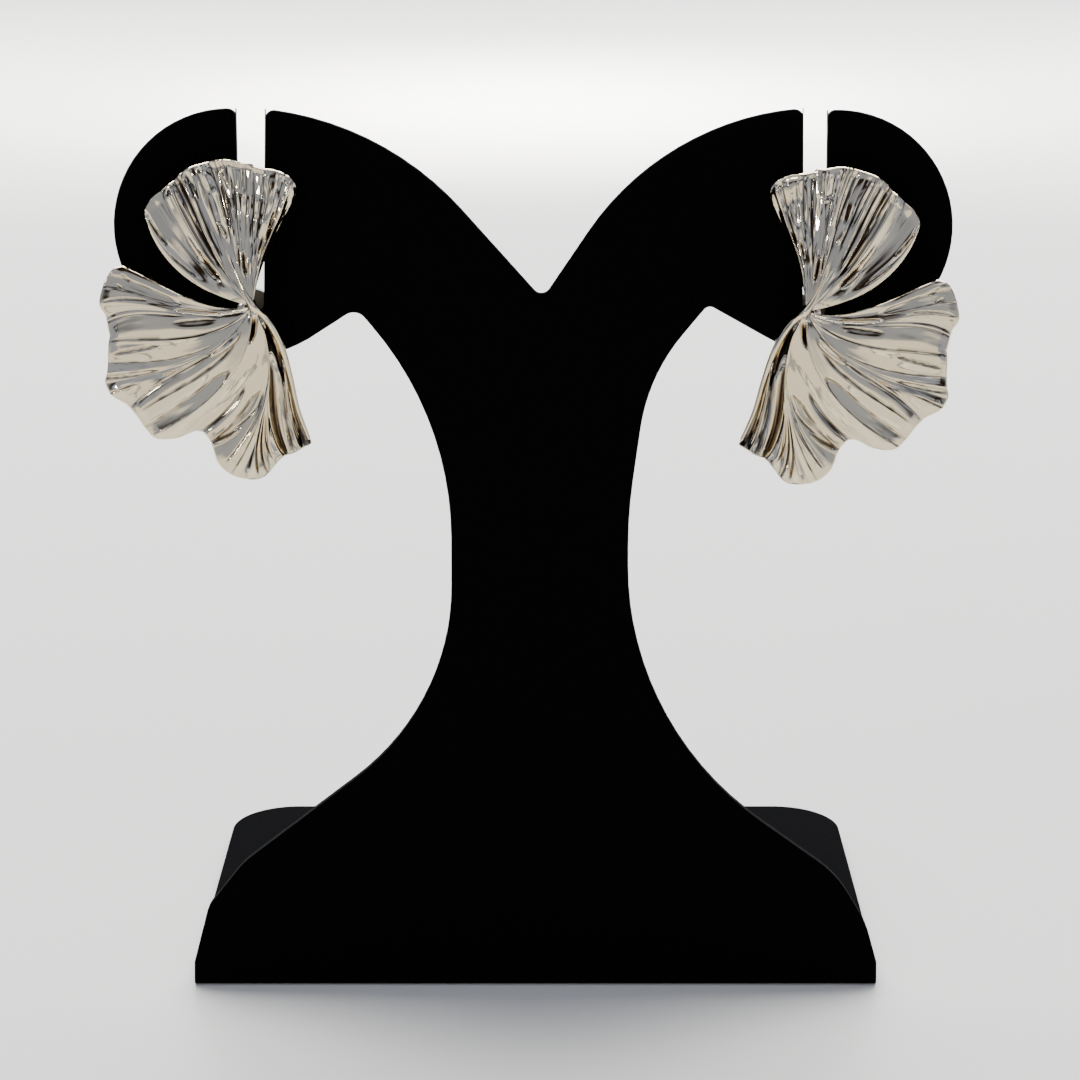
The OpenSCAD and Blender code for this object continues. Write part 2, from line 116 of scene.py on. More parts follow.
# Small marks of the casting. Columns: rim angle and share of the outer end, rim angle and share of the
# inner end, half width, height (below 0 for a dent), rise of its floor from the middle to the side with the
# larger angle, share of the half width that its edge takes
UPPER_MARKS = np.array([
    (129.2, 0.49, 129.2, 0.27, 0.60, -0.45, 0.00, 1.2), (95.5, 0.40, 95.5, 0.20, 0.45, -0.40, 0.00, 1.2),
    (101.0, 0.43, 103.5, 0.26, 0.34, -0.28, 0.00, 1.2), (80.5, 0.52, 81.5, 0.38, 0.30, -0.30, 0.00, 1.2),
    (75.5, 0.60, 75.5, 0.49, 0.60, -0.30, 0.00, 1.2), (103.2, 1.04, 102.4, 0.79, 0.28, 0.14, 0.00, 0.8),
    (97.5, 0.80, 97.5, 0.76, 0.90, -0.06, 0.00, 0.5), (120.8, 1.10, 121.0, 0.60, 0.42, -0.30, 0.00, 0.9),
    (106.0, 1.20, 107.4, 0.54, 0.55, -0.11, 0.05, 0.4), (139.2, 0.95, 138.5, 0.72, 0.22, -0.15, 0.00, 0.7),
    (139.9, 0.70, 139.2, 0.44, 0.13, -0.10, 0.00, 0.8),
    (124.2, 1.05, 124.6, 0.30, 0.12, -0.14, 0.00, 1.0), (93.9, 0.99, 94.1, 0.80, 0.22, 0.12, 0.00, 0.8),
    (101.9, 0.74, 101.5, 0.65, 0.20, 0.10, 0.00, 0.8), (82.4, 0.95, 83.0, 0.60, 0.12, -0.12, 0.00, 1.0),
    (112.2, 0.60, 110.4, 0.48, 0.30, 0.14, 0.00, 0.8), (128.4, 0.66, 129.8, 0.44, 0.30, 0.10, 0.00, 0.8),
    (71.0, 0.66, 74.5, 0.26, 0.55, 0.42, 0.00, 1.0),
])
LOWER_MARKS = np.array([
    (169.8, 1.30, 170.2, 0.47, 1.05, -0.14, 0.02, 0.22), (166.0, 0.93, 167.5, 0.84, 0.26, -0.12, 0.00, 0.7),
    (171.0, 0.92, 172.6, 0.86, 0.30, -0.12, 0.00, 0.7), (178.6, 0.98, 176.2, 0.68, 0.28, -0.05, 0.00, 0.5),
    (180.5, 0.51, 180.0, 0.20, 0.80, -0.16, 0.12, 0.3), (190.2, 0.57, 189.4, 0.24, 0.34, -0.10, 0.07, 0.8),
    (186.2, 1.05, 186.4, 0.45, 0.14, -0.12, 0.00, 1.0), (193.4, 1.05, 194.6, 0.12, 0.14, -0.12, 0.00, 1.0),
    (201.0, 1.05, 202.6, 0.34, 0.14, -0.12, 0.00, 1.0), (198.6, 0.98, 196.6, 0.66, 0.26, -0.10, 0.00, 0.5),
    (205.4, 1.04, 206.6, 0.68, 0.45, -0.18, 0.00, 0.4), (211.2, 1.04, 211.6, 0.80, 0.22, -0.16, 0.00, 0.8),
    (215.0, 0.69, 215.0, 0.59, 0.90, -0.20, 0.00, 0.8), (219.4, 1.05, 220.6, 0.32, 0.15, -0.14, 0.00, 1.0),
    (222.6, 1.05, 224.6, 0.25, 0.14, -0.12, 0.00, 1.0), (219.8, 0.42, 220.8, 0.17, 0.34, 0.00, 0.36, 0.5),
    (229.7, 1.50, 229.9, 0.41, 0.74, -0.20, 0.08, 0.10), (238.6, 0.92, 236.0, 0.66, 0.34, -0.02, 0.00, 0.5),
    (247.6, 1.20, 248.0, 0.57, 0.34, -0.10, 0.03, 0.5), (251.7, 1.05, 252.4, 0.57, 0.14, 0.10, 0.00, 1.0),
    (255.2, 1.40, 255.4, 0.55, 1.75, -0.22, 0.20, 0.10), (252.6, 1.04, 254.8, 0.80, 0.50, -0.06, 0.32, 0.5),
    (258.8, 0.98, 257.6, 0.68, 0.18, -0.16, 0.00, 0.9), (252.8, 0.90, 255.6, 0.64, 0.20, -0.18, 0.00, 0.9),
    (272.0, 0.99, 263.5, 0.60, 0.32, -0.36, 0.00, 0.9), (275.5, 1.02, 267.0, 0.61, 0.32, -0.36, 0.00, 0.9),
    (278.4, 0.98, 271.0, 0.62, 0.22, -0.30, 0.00, 0.9), (262.4, 1.02, 261.6, 0.64, 0.16, -0.16, 0.00, 0.9),
    (286.4, 0.50, 286.0, 0.12, 0.55, -0.70, 0.00, 0.9), (286.6, 0.95, 286.0, 0.55, 0.15, -0.14, 0.00, 0.9),
    (288.6, 1.02, 287.6, 0.50, 0.15, -0.14, 0.00, 0.9), (290.4, 0.96, 289.6, 0.60, 0.14, -0.12, 0.00, 0.9),
    (241.0, 0.25, 241.0, 0.035, 0.48, -0.75, 0.00, 1.2),
])

# Rows: a lobe. Columns: folds, form, marks, swing of the creases near the knot, height of the waves along
# the folds, steps across the lobe and steps from the knot to the rim
LOBES = (
    (UPPER_FOLDS, UPPER_FORM, UPPER_MARKS, 10, 0.19, 270, 108),
    (LOWER_FOLDS, LOWER_FORM, LOWER_MARKS, 24, 0.02, 420, 120),
)
# The edge is rolled from the upper lobe's neck over the knot and down the lower lobe's right edge.
# Columns: offset from the knot in x and up the slope, height, radius
ROLL_NECK = np.array([
    (-2.3, 4.6, 5.5, 0.12), (-1.5, 3.0, 5.9, 0.26), (-0.7, 1.3, 6.3, 0.38), (0.2, -0.1, 6.5, 0.46),
])
# Columns: share of the way down the edge, radius
ROLL_EDGE = np.array([(0.10, 0.50), (0.20, 0.52), (0.35, 0.48), (0.55, 0.40), (0.75, 0.32), (0.97, 0.22)])
# How far its two ends bulge
CAP_RISE = 0.05

# Share of the way out from the knot at which the lobes' grids start, and the height of the knot's peak
FIRST_SHARE = 0.06
PEAK_H = 6.3
# Thickness of the leaf
WALL = 1.1
# Shares of the way out: over which a crease grows to its full rise, and from which it is eased towards
# the rim, where RIM_RELIEF of it is left
FOLD_RUN = 0.35
BORDER_SHARE = 0.93
RIM_RELIEF = 0.45
# Small unevenness of the casting. Columns: height, cell across the folds, cell along them
WRINKLES = ((1.0, 0.95, 4.2), (0.45, 0.5, 2.6), (0.16, 0.27, 1.5))
PLEATS = ((1.0, 1.3, 5.5), (0.35, 0.6, 2.4))
WAVES = ((1.0, 2.4, 2.8),)
PLEAT_HEIGHT = 1.6
# Shares of the way out: up to which it is left out, over which it then comes in, and over which it fades
# again before the rim
KNOT_STILL = 0.05
KNOT_FADE = 0.3
RIM_FADE = 0.05
# Width of the bell curve over which the height is averaged, to take a hollow's depth from it
DEPTH_BLUR = 0.6
# Rings of the rounded edge from the front to the back, the first four on a quarter circle. Columns: way out
# and rise, both in radii, share of the leaf's thickness by which it lies behind the front, share of painted
# shade
QUARTER = [math.radians(angle) for angle in (22.5, 45, 67.5, 90)]
EDGE_RINGS = (
    *((math.sin(t), math.cos(t) - 1, 0, edge_shade) for t, edge_shade in zip(QUARTER, (0, 0.35, 0.9, 1))),
    (1, 0.4, 1, 1),
    (0.4, 0, 1, 1),
)
# How many times its direction is blurred along the border
EDGE_BLURS = 3
# On the back, one grid line in so many is enough
BACK_EVERY = 4

# The ear nut's front and thickness, and how far the post stands out behind it
NUT_FRONT_H = -2.3
NUT_T = 2.4
POST_FREE = 3.5
POST_END = NUT_FRONT_H - NUT_T - POST_FREE
# Profiles of the boss and the post. Columns: radius, height
BOSS = ((0, 5.1), (1.1, 5.1), (1.2, 5.0), (1.2, 1.9), (1.1, 1.8), (0, 1.8))
POST = (
    (0, 2.6), (0.4, 2.6), (0.4, POST_END + 0.3), (0.36, POST_END + 0.1), (0.22, POST_END), (0, POST_END),
)

# Width of the hand polish's unevenness and of the tufts of the velvet's pile
POLISH_MM = 0.4
PILE_MM = 0.3125

# Half the floor's width in metres
FLOOR_HALF_M = 6.0
# The camera: its place in metres, its turn up from straight down, and lens and film in mm
CAMERA_SPOT = (0.001285, -0.50153, 0.20484)
CAMERA_TURN = math.radians(73)
LENS_MM = 130.943
FILM_MM = 36.0
# The room's colour by the height of a direction. One far to the side counts as higher, by SIDE_LIFT times
# what its sideways part has over SIDE_FROM. Columns: height, colour
ROOM = ((0.0, "#F4F2EC"), (0.14, "#F1F0EC"), (0.22, "#99A2B6"), (0.54, "#858EA5"), (0.64, "#251D17"),
        (0.71, "#251D17"), (0.78, "#C8CCD6"), (1.0, "#F4F6FA"))
SIDE_FROM = 0.35
SIDE_LIFT = 0.8
# The room's patches, which take over where the height and PATCH_SIDE times the sideways part add up to
# PATCH_RANGE. Columns: value of the noise, colour
PATCHES = ((0.0, "#0E0A07"), (0.41, "#261E18"), (0.46, "#8793B0"), (0.55, "#949FBB"), (0.61, "#FFFFFF"),
           (1.0, "#FFFFFF"))
PATCH_SIDE = 1.3
PATCH_RANGE = (0.66, 0.86)
ROOM_STRENGTH = 1.3


class LeafSettings(bpy.types.PropertyGroup):
    """Sizes and colours of the cast leaves"""

    crease_mm: bpy.props.FloatProperty(
        name="Crease softness", description="How far a crease's bend spreads across the leaf, in mm",
        default=0.13, min=0.03, max=0.5)
    wrinkle_mm: bpy.props.FloatProperty(
        name="Wrinkle height", description="Height of the small uneven wrinkles along the folds, in mm",
        default=0.035, min=0.0, max=0.2)
    edge_mm: bpy.props.FloatProperty(
        name="Edge radius", description="Radius of the polished rim's rounding, in mm",
        default=0.32, min=0.1, max=0.5)
    colour: bpy.props.StringProperty(
        name="Plate colour", description="Colour of the pale gold plate, as a hex value", default="#F1E0BE")
    # The crevice colour is painted shade: the plate is painted this dark brown in the creases and on the
    # rounded edge's turn to the back
    painted_shade_colour: bpy.props.StringProperty(
        name="Crevice colour", description="Colour of the dark film left in the creases, as a hex value",
        default="#33241A")
    # Bend and depth of a hollow from which the painted shade comes in
    painted_shade_bend: bpy.props.FloatProperty(
        name="Crevice sharpness", description="Bend of a hollow from which the film stays in it, in 1/mm",
        default=1.3, min=0.2)
    painted_shade_depth: bpy.props.FloatProperty(
        name="Crevice depth", description="Depth of a narrow hollow from which the film stays in it, in mm",
        default=0.11, min=0.02)
    roughness: bpy.props.FloatProperty(
        name="Plate roughness", description="Roughness of the mirror polish",
        default=0.045, min=0.0, max=1.0, subtype="FACTOR")


class StandSettings(bpy.types.PropertyGroup):
    """Sizes and colours of the velvet stand"""

    edge_mm: bpy.props.FloatProperty(
        name="Edge radius", description="Radius of the wrapped velvet edge, in mm",
        default=0.35, min=0.1, max=0.8)
    colour: bpy.props.StringProperty(
        name="Velvet colour", description="Colour of the pile, as a hex value", default="#050506")


class StageSettings(bpy.types.PropertyGroup):
    """Colours and strengths of the studio"""

    floor: bpy.props.StringProperty(
        name="Floor colour", description="Colour of the floor, as a hex value", default="#EFECE4")
    key_w: bpy.props.FloatProperty(
        name="Overhead light", description="Power of the overhead soft light",
        default=53.0, min=0.0, unit="POWER")
    rear_w: bpy.props.FloatProperty(
        name="Rear light", description="Power of the wide light behind the stand",
        default=40.0, min=0.0, unit="POWER")
    front_w: bpy.props.FloatProperty(
        name="Front light", description="Power of the light on the floor in front, which the leaves mirror",
        default=8.0, min=0.0, unit="POWER")
    spot_w: bpy.props.FloatProperty(
        name="Small light", description="Power of the small light up on the left, seen as a white glint",
        default=5.0, min=0.0, unit="POWER")
    glow_w: bpy.props.FloatProperty(
        name="Floor glow", description="Power of the lights on the floor behind the stand",
        default=1.4, min=0.0, unit="POWER")


def linear(hex_colour):
    """Turns an sRGB hex colour into the linear RGBA that a shader takes."""
    out = []
    for k in (1, 3, 5):
        c = int(hex_colour[k:k + 2], 16) / 255
        out.append(c / 12.92 if c <= 0.04045 else ((c + 0.055) / 1.055) ** 2.4)
    return (*out, 1.0)


def add_node(tree, kind, links=(), sockets=None, **properties):
    """Adds a shader node with its properties, its sockets' values by name or number, and its links, each as
    (from socket, to input)."""
    node = tree.nodes.new(kind)
    for name, value in properties.items():
        setattr(node, name, value)
    for name, value in (sockets or {}).items():
        node.inputs[name].default_value = value
    for source, name in links:
        tree.links.new(source, node.inputs[name])
    return node


def set_stops(ramp, rows):
    """Fills a colour ramp from rows of (position, hex colour)."""
    stops = ramp.color_ramp.elements
    for k, (at, colour) in enumerate(rows):
        stop = stops[k] if k < 2 else stops.new(at)
        stop.position = at
        stop.color = linear(colour)


def new_material(name):
    """A material with an empty tree, and the tree."""
    material = bpy.data.materials.new(name)
    material.use_nodes = True
    material.node_tree.nodes.clear()
    return material, material.node_tree


def on_upright(x, height, up):
    """A point of the upright's frame, in the part's frame in metres: leaned back about X, then shifted."""
    c, s = math.cos(LEAN), math.sin(LEAN)
    return (np.stack([x, up * s - height * c, up * c + height * s], -1) - MIDDLE) * MM


def placed(dx, dy, place):
    """An offset from the post of an unturned left leaf, as x and distance up the slope on the upright."""
    post_x, post_up, turn, side = place
    c, s = math.cos(math.radians(turn)), math.sin(math.radians(turn))
    x = np.asarray(dx, float) * side
    y = np.asarray(dy, float)
    return post_x + x * c - y * s, post_up + x * s + y * c


def soft_step(v):
    """0 below 0, 1 above 1, and a smooth cubic between."""
    c = np.clip(v, 0, 1)
    return c * c * (3 - 2 * c)


def bell(distance, width):
    """Bell curve of a distance, 1 at 0, with the width as its standard deviation."""
    return np.exp(-0.5 * (distance / width) ** 2)


def blurred(values, axis=0):
    """Each value averaged with its two neighbours, which count half as much."""
    return (np.roll(values, 1, axis) + 2 * values + np.roll(values, -1, axis)) / 4


def curve(xs, ys, x):
    """Smooth cubic through points (xs, ys) that swings past none of them; ys may hold several columns."""
    xs, ys, x = np.asarray(xs, float), np.asarray(ys, float), np.asarray(x, float)
    h = np.diff(xs)
    d = np.diff(ys, axis=0) / (h if ys.ndim == 1 else h[:, None])
    h0, h1 = (h[:-1], h[1:]) if ys.ndim == 1 else (h[:-1, None], h[1:, None])
    same = d[:-1] * d[1:] > 0
    safe = np.where(same, d[:-1], 1), np.where(same, d[1:], 1)
    inner = np.where(same, 3 * (h0 + h1) / ((2 * h1 + h0) / safe[0] + (h1 + 2 * h0) / safe[1]), 0)
    slope = np.concatenate([d[:1], inner, d[-1:]])
    i = np.clip(np.searchsorted(xs, x, side="right") - 1, 0, len(h) - 1)
    f = np.clip((x - xs[i]) / h[i], 0, 1)
    hi = h[i]
    if ys.ndim > 1:
        f, hi = f[:, None], hi[:, None]
    return (ys[i] * (1 + 2 * f) * (1 - f) ** 2 + ys[i + 1] * f * f * (3 - 2 * f)
            + hi * slope[i] * f * (1 - f) ** 2 - hi * slope[i + 1] * f * f * (1 - f))


def value_noise(rng, across, along, cell_across, cell_along):
    """Smooth random field over the grid of two position arrays, from a random lattice of the given cells,
    blended between its points by the soft step."""
    ga, gl = across / cell_across, along / cell_along
    ia, il = np.floor(ga).astype(int), np.floor(gl).astype(int)
    ia0, il0 = ia.min(), il.min()
    lattice = rng.standard_normal((ia.max() - ia0 + 2, il.max() - il0 + 2))
    fa, fl = soft_step(ga - ia)[:, None], soft_step(gl - il)[None, :]
    a, b = (ia - ia0)[:, None], (il - il0)[None, :]
    return ((lattice[a, b] * (1 - fa) + lattice[a + 1, b] * fa) * (1 - fl)
            + (lattice[a, b + 1] * (1 - fa) + lattice[a + 1, b + 1] * fa) * fl)


def uneven(rng, across, along, layers):
    """Sum of smooth random fields, one for each row of (height, cell across, cell along)."""
    return sum(height * value_noise(rng, across, along, *cells) for height, *cells in layers)


def lobe_surface(lobe, rng, settings):
    """Offsets from the knot, heights and painted shade of one lobe, on a grid of columns across and rows from
    the knot to the rim.

    Each column follows its own bent line from the knot: its angle is a quadratic of the share u through the
    angle at the knot, which is the halfway angle plus the lobe's swing, the halfway angle and the angle at
    the rim, and its distance is u times the reach. Its height is the smooth form, plus the folds, plus
    small wrinkles and waves drawn out along the folds, plus the marks."""
    folds, form, marks, swing, waves, across, along = lobe
    angle, reach = folds[:, 0], folds[:, 1]
    steps = np.hypot(np.diff(reach), np.radians(np.diff(angle)) * (reach[1:] + reach[:-1]) / 2)
    at = np.concatenate([[0], np.cumsum(steps)])
    s = np.linspace(0, at[-1], across)
    u = np.linspace(FIRST_SHARE, 1, along)
    rim, far, half = (curve(at, folds[:, k], s) for k in (0, 1, 2))
    uu = u[None, :]
    turn = np.radians((half + swing)[:, None] * 2 * (uu - 0.5) * (uu - 1)
                      + half[:, None] * 4 * uu * (1 - uu) + rim[:, None] * uu * (2 * uu - 1))
    dist = far[:, None] * uu

    table = curve(form[:, 0], form[:, 1:], rim)
    smooth = curve(FORM_SHARES, table[:, :4].T, u).T
    share = table[:, 4:5]

    out = u * float(reach.mean())
    wrinkle = uneven(rng, s, out, WRINKLES)
    # The fold of a noise about 0 is a sharp, wandering crease
    pleat = -np.abs(uneven(rng, s, out, PLEATS))
    wave = uneven(rng, s, out, WAVES)
    fine = settings.wrinkle_mm * share * (wrinkle + PLEAT_HEIGHT * pleat) + waves * wave * share
    fade = soft_step((1 - uu) / RIM_FADE) * soft_step((uu - KNOT_STILL) / KNOT_FADE)

    border = 1 + (RIM_RELIEF - 1) * soft_step((uu - BORDER_SHARE) / (1 - BORDER_SHARE))
    height = (smooth + fold_heights(folds, at, s, u, border, settings.crease_mm) + fine * fade * uu
              + mark_heights(marks, folds[:, 0], at, s, u) * border)
    return dist * np.cos(turn), dist * np.sin(turn), height, painted_shade_shares(height, s, uu, settings)


def fold_heights(folds, at, s, u, border, softness):
    """Rise of the folds on a lobe's grid: straight from crease to crease across the leaf, where each crease
    grows by a soft step from its own share of the way out, then blurred across by a bell curve."""
    crease = folds[:, 3:4] * soft_step((u[None, :] - folds[:, 4:5]) / FOLD_RUN) * border
    k = np.clip(np.searchsorted(at, s, side="right") - 1, 0, len(at) - 2)
    f = ((s - at[k]) / (at[k + 1] - at[k]))[:, None]
    sharp = crease[k] * (1 - f) + crease[k + 1] * f
    soft = np.empty_like(sharp)
    gap = np.abs(s[:, None] - s[None, :])
    for j, share in enumerate(u):
        weight = bell(gap * share, softness)
        soft[:, j] = weight @ sharp[:, j] / weight.sum(1)
    return soft


def painted_shade_shares(height, s, uu, settings):
    """Share of the painted shade at each point of a lobe's grid, which darkens the creases and hollows as
    shade
    would: the larger of two soft steps, one of the second difference of the height across the folds, and one
    of the depth below the height's own average across. It is left out at the knot, and blurred by a step
    across and two along."""
    step = (s[1] - s[0]) * uu
    bend = (np.roll(height, 1, 0) - 2 * height + np.roll(height, -1, 0)) / step ** 2
    bend[[0, -1]] = 0
    near = bell(s[:, None] - s[None, :], DEPTH_BLUR)
    depth = near @ height / near.sum(1, keepdims=True) - height
    # Painted shade: dark where the height bends sharply into a crease or lies below its surroundings
    shade_share = np.maximum(soft_step((bend - settings.painted_shade_bend) / settings.painted_shade_bend),
                      soft_step((depth - settings.painted_shade_depth) / settings.painted_shade_depth))
    shade_share *= soft_step((uu - FIRST_SHARE) / FIRST_SHARE)
    for axis in (0, 1, 1):
        shade_share = blurred(shade_share, axis)
    return shade_share


def mark_heights(marks, fold_angles, at, s, u):
    """Sum of the marks on a lobe's grid. Each is a long rounded dent or rise: its middle line runs straight
    between its two ends on the grid of rim angle and share, it is full inside and falls to nothing where the
    fourth power of the distance along it and the square of the distance across it add up to 1. Its floor may
    rise from one side to the other."""
    total = np.zeros((len(s), len(u)))
    for angle_out, share_out, angle_in, share_in, half, height, tilt, slope in marks:
        s_out, s_in = np.interp((angle_out, angle_in), fold_angles, at)
        along = (u - share_in) / (share_out - share_in)
        middle = s_in + (s_out - s_in) * along
        across = (s[:, None] - middle[None, :]) * u[None, :] / half
        inside = 1 - np.sqrt(np.abs(2 * along[None, :] - 1) ** 4 + across ** 2)
        total += (height + tilt * np.clip(across, -1, 1)) * soft_step(inside / slope)
    return total


def grid_faces(number):
    """Quads of a grid of point numbers."""
    corners = number[:-1, :-1], number[1:, :-1], number[1:, 1:], number[:-1, 1:]
    return np.column_stack([corner.ravel() for corner in corners])


def strip_faces(front, back):
    """Quads between two closed loops of the same length, given as point numbers."""
    return np.column_stack([front, np.roll(front, -1), np.roll(back, -1), back])


def fan_faces(ring, middle):
    """Triangles from a middle point to a closed loop, given as point numbers."""
    return np.column_stack([np.full(len(ring), middle), np.roll(ring, -1), ring])


def border_loop(numbers):
    """Point numbers round the outer border of the two lobe grids, without the sides at the knot."""
    return np.concatenate([side for n in numbers for side in (n[0], n[1:, -1], n[-1, -2::-1])])


def leaf_mesh(side, settings):
    """Points, faces and painted shade of one leaf's closed wall, and the lower lobe's last column of points.

    The wall is the two lobe grids with a fan round the knot's peak, a rounded edge all round, and the same
    surface at the leaf's thickness behind, on fewer grid lines."""
    place = PLACES[side]
    rng = np.random.default_rng(SEEDS[side])
    lobes = [lobe_surface(lobe, rng, settings) for lobe in LOBES]
    right_edge = [values[-1] for values in lobes[-1][:3]]
    dx, dy, height, shade_share = (np.concatenate([part.ravel() for part in parts] + [[at_peak]])
                            for parts, at_peak in zip(zip(*lobes), (0.0, 0.0, PEAK_H, 0.0)))
    dx += KNOT_FROM_POST[0]
    dy += KNOT_FROM_POST[1]
    numbers, peak = [], 0
    for part, *_ in lobes:
        numbers.append(peak + np.arange(part.size).reshape(part.shape))
        peak += part.size
    ring = np.concatenate([number[:, 0] for number in numbers])

    # The rounded edge goes outwards, square to the border
    loop = border_loop(numbers)
    lx, ly, lh = dx[loop], dy[loop], height[loop]
    tx, ty = np.roll(lx, -1) - np.roll(lx, 1), np.roll(ly, -1) - np.roll(ly, 1)
    size = np.hypot(tx, ty) + 1e-9
    out_x, out_y = -ty / size, tx / size
    for _ in range(EDGE_BLURS):
        out_x, out_y = blurred(out_x), blurred(out_y)
    r = settings.edge_mm
    rings = [(lx + out_x * r * out, ly + out_y * r * out, lh - WALL * behind + r * rise)
             for out, rise, behind, _ in EDGE_RINGS]
    # Painted shade on the rounded edge, growing as the edge turns away to the back
    edge_shade = np.repeat([row[3] for row in EDGE_RINGS], len(loop))
    total = peak + 1 + len(edge_shade)
    loops = [loop, *np.arange(peak + 1, total).reshape(len(rings), -1)]

    # The front's points that have one behind them, and that point's number for each, or -1
    lines = [[np.unique(np.append(np.arange(0, n, BACK_EVERY), n - 1)) for n in number.shape]
             for number in numbers]
    thinned = [number[np.ix_(*line)] for number, line in zip(numbers, lines)]
    kept = np.concatenate([grid.ravel() for grid in thinned] + [[peak]])
    behind = np.full(peak + 1, -1)
    behind[kept] = total + np.arange(len(kept))
    back_ring = behind[ring][behind[ring] >= 0]

    # Each side of the back's border is joined to all the edge's points beside it by one face
    coarse = behind[loop]
    known = np.flatnonzero(coarse >= 0)
    joins = []
    for a, b in zip(known, np.roll(known, -1)):
        span = loops[-1][np.arange(a, a + (b - a) % len(loop) + 1) % len(loop)]
        joins.append((*span.tolist(), int(coarse[b]), int(coarse[a])))

    x, y, h = (np.concatenate([front, *edge, front[kept]])
               for front, edge in zip((dx, dy, height), zip(*rings)))
    h[total:] -= WALL
    faces = [*map(grid_faces, numbers), fan_faces(ring, peak)]
    faces += [strip_faces(one, two) for one, two in zip(loops[:-1], loops[1:])]
    faces += [grid_faces(behind[grid])[:, ::-1] for grid in thinned]
    faces.append(fan_faces(back_ring[::-1], behind[peak]))
    polygons = [tuple(face) for part in faces for face in part.tolist()] + joins
    if place[3] < 0:
        polygons = [face[::-1] for face in polygons]
    px, up = placed(x, y, place)
    # Painted shade of the lobes and of the rounded edge; the back has none
    shade_share = np.concatenate([shade_share, edge_shade, np.zeros(len(kept))])
    return (on_upright(px, h, up), polygons, shade_share), right_edge


def closed_tube(rings, first, last):
    """Points, faces and painted shade of a tube through rings of points of the upright's frame, with a fan to
    one point at each end. It has no painted shade."""
    rows, sides = rings.shape[:2]
    points = np.concatenate([rings.reshape(-1, 3), [first, last]])
    number = np.arange(rows * sides).reshape(rows, sides)
    faces = [strip_faces(one, two) for one, two in zip(number[:-1], number[1:])]
    faces += [fan_faces(number[0], rows * sides), fan_faces(number[-1][::-1], rows * sides + 1)]
    return on_upright(*points.T), [face for part in faces for face in part.tolist()], np.zeros(len(points))


def rolled_edge(side, column, sides=14, steps=90):
    """The rolled edge: circles are carried along a smooth curve through the neck's points and the lower
    lobe's last column, each square to the curve, and its ends bulge a little."""
    share = np.linspace(FIRST_SHARE, 1, len(column[0]))
    edge = np.column_stack([np.interp(ROLL_EDGE[:, 0], share, v) for v in column] + [ROLL_EDGE[:, 1]])
    knots = np.concatenate([ROLL_NECK, edge])
    length = np.concatenate([[0], np.cumsum(np.linalg.norm(np.diff(knots[:, :3], axis=0), axis=1))])
    dx, dy, height, radius = curve(length, knots, np.linspace(0, length[-1], steps)).T
    px, up = placed(dx + KNOT_FROM_POST[0], dy + KNOT_FROM_POST[1], PLACES[side])
    middle = np.column_stack([px, height, up])
    along = np.gradient(middle, axis=0)
    along /= np.linalg.norm(along, axis=1, keepdims=True)
    outward = np.array([0.0, 1.0, 0.0]) - along * along[:, 1:2]
    outward /= np.linalg.norm(outward, axis=1, keepdims=True)
    across = np.cross(along, outward)
    turn = np.linspace(0, 2 * math.pi, sides, endpoint=False)[None, :, None]
    rings = middle[:, None] + radius[:, None, None] * (np.cos(turn) * outward[:, None]
                                                       + np.sin(turn) * across[:, None])
    return closed_tube(rings, middle[0] - along[0] * CAP_RISE, middle[-1] + along[-1] * CAP_RISE)


def turned_body(spot, profile, sides=24):
    """A closed body turned about a line square to the upright through spot: the profile's rows of (radius,
    height) are carried round in equal steps. Its first and last rows, of radius 0, are the poles."""
    radius, height = np.array(profile, float).T[:, :, None]
    turn = np.linspace(0, 2 * math.pi, sides, endpoint=False)
    rings = np.stack([spot[0] + radius * np.cos(turn), np.repeat(height, sides, 1),
                      spot[1] + radius * np.sin(turn)], -1)
    return closed_tube(rings[1:-1], rings[0, 0], rings[-1, 0])


def add_piece(name, parts, material, nodes):
    """Makes one object of several closed shells, each of points, faces and painted shade, smooth shaded. It
    rides on the one body and stands for the part's own nodes."""
    points, shade_shares = (np.concatenate([part[k] for part in parts]) for k in (0, 2))
    faces, start = [], 0
    for shell, polygons, _ in parts:
        faces += [tuple(v + start for v in face) for face in polygons]
        start += len(shell)
    mesh = bpy.data.meshes.new(name)
    mesh.from_pydata(points.tolist(), [], faces)
    # Share of painted shade at each point, which the plate's material reads
    painted_shade = mesh.attributes.new("painted_shade", "FLOAT", "POINT")
    painted_shade.data.foreach_set("value", shade_shares.astype(np.float32))
    mesh.polygons.foreach_set("use_smooth", np.ones(len(mesh.polygons), bool))
    mesh.update()
    mesh.materials.append(material)
    piece = bpy.data.objects.new(name, mesh)
    bpy.context.scene.collection.objects.link(piece)
    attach(piece, "root")
    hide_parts(*nodes)


def own_piece(name, material):
    """One of the part's own pieces, with the material in place of its own."""
    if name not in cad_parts:
        raise RuntimeError(f"The part has no piece named {name}")
    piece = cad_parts[name]
    piece.data.materials.clear()
    piece.data.materials.append(material)
    return piece


